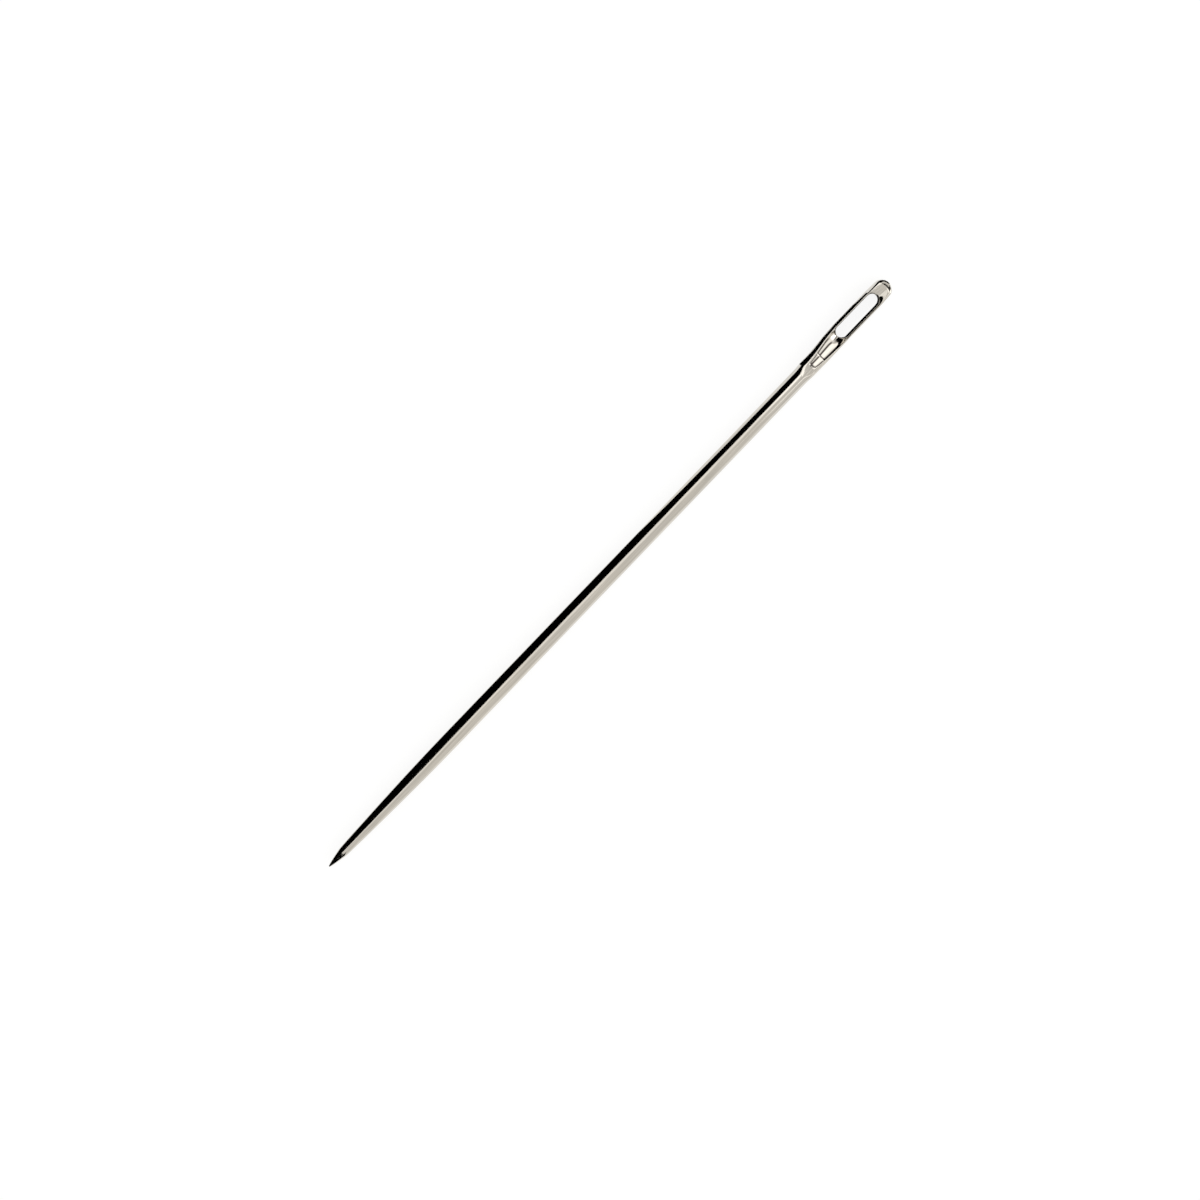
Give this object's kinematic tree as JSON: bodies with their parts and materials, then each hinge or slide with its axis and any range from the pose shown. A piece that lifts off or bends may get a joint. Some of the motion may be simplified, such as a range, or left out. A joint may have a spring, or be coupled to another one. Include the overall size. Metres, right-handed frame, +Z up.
{
  "type": "between needle",
  "caption": "Short hand-sewing needle: round bright-plated steel shank with a ground point, and a stamped head whose long eye has gutters that lead the thread into it.",
  "frame": {"origin": "on the surface that the needle lies on, under the middle of its box", "axes": "+X along the needle from the point to the eye, +Z up through the eye, +Y across the head to its left"},
  "size_m": [0.0316, 0.0008, 0.0007],
  "materials": {
    "plated_steel": "bright nickel plate on hardened steel, polished along the wire"
  },
  "bodies": {
    "root": {"point": "plated_steel", "shank": "plated_steel", "neck": "plated_steel", "eye_side_left": "plated_steel", "eye_side_right": "plated_steel", "crown": "plated_steel"}
  },
  "joints": []
}
